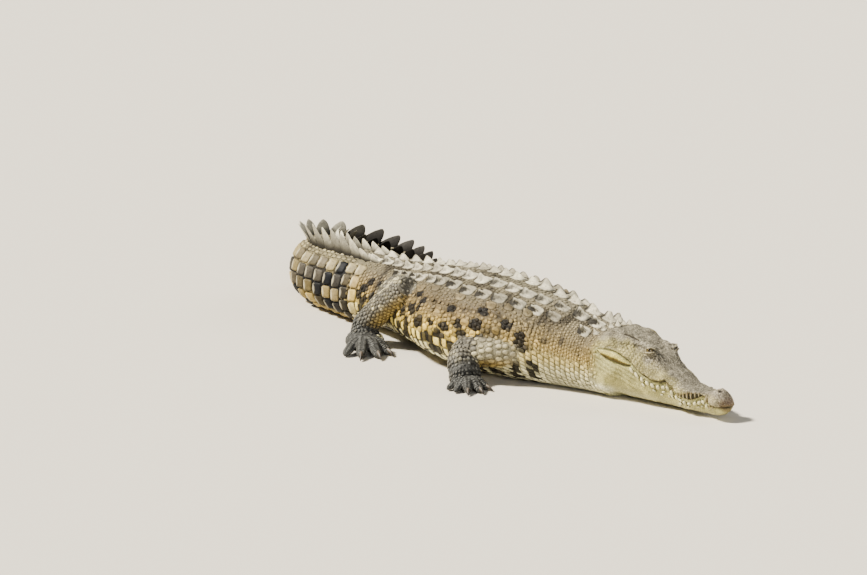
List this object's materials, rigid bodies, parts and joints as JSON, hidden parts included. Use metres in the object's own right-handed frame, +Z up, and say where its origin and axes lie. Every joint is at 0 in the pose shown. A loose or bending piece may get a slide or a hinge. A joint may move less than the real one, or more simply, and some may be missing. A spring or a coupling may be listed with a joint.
{
  "type": "american crocodile, life-size still model",
  "caption": "Life-size adult crocodile lying flat on its belly, head on the ground, legs folded at its sides and tail curled round behind it",
  "frame": {"origin": "on the floor under the middle of the whole model's box", "axes": "+X towards the head along the trunk, +Y to the animal's left, +Z up"},
  "size_m": [2.0748, 0.8234, 0.2884],
  "materials": {
    "body_skin": "matt dry scaly hide, ochre and cream with charcoal blotches",
    "head_skin": "matt hide drawn tight over bone, grey-olive with dark flecks",
    "jaw_skin": "smooth pale yellow-green throat hide",
    "leg_skin": "wrinkled blue-grey hide in small scales",
    "eye": "wet olive eye with a dark slit pupil",
    "claw_horn": "smooth dull horn"
  },
  "bodies": {
    "root": {"neck": "body_skin", "trunk_front": "body_skin", "trunk_rear": "body_skin", "tail_1": "body_skin", "tail_2": "body_skin", "tail_3": "body_skin", "tail_4": "body_skin", "tail_5": "body_skin", "tail_6": "body_skin", "tail_7": "body_skin", "head": "head_skin", "lower_jaw": "jaw_skin", "eye_right": "eye", "eye_left": "eye", "foreleg_right_upper": "leg_skin", "foreleg_right_lower": "leg_skin", "forefoot_right": "leg_skin", "foreclaw_right_1": "claw_horn", "foreclaw_right_2": "claw_horn", "foreclaw_right_3": "claw_horn", "hindleg_right_upper": "leg_skin", "hindleg_right_lower": "leg_skin", "hindfoot_right": "leg_skin", "hindclaw_right_1": "claw_horn", "hindclaw_right_2": "claw_horn", "hindclaw_right_3": "claw_horn", "foreleg_left_upper": "leg_skin", "foreleg_left_lower": "leg_skin", "forefoot_left": "leg_skin", "foreclaw_left_1": "claw_horn", "foreclaw_left_2": "claw_horn", "foreclaw_left_3": "claw_horn", "hindleg_left_upper": "leg_skin", "hindleg_left_lower": "leg_skin", "hindfoot_left": "leg_skin", "hindclaw_left_1": "claw_horn", "hindclaw_left_2": "claw_horn", "hindclaw_left_3": "claw_horn"}
  },
  "joints": []
}
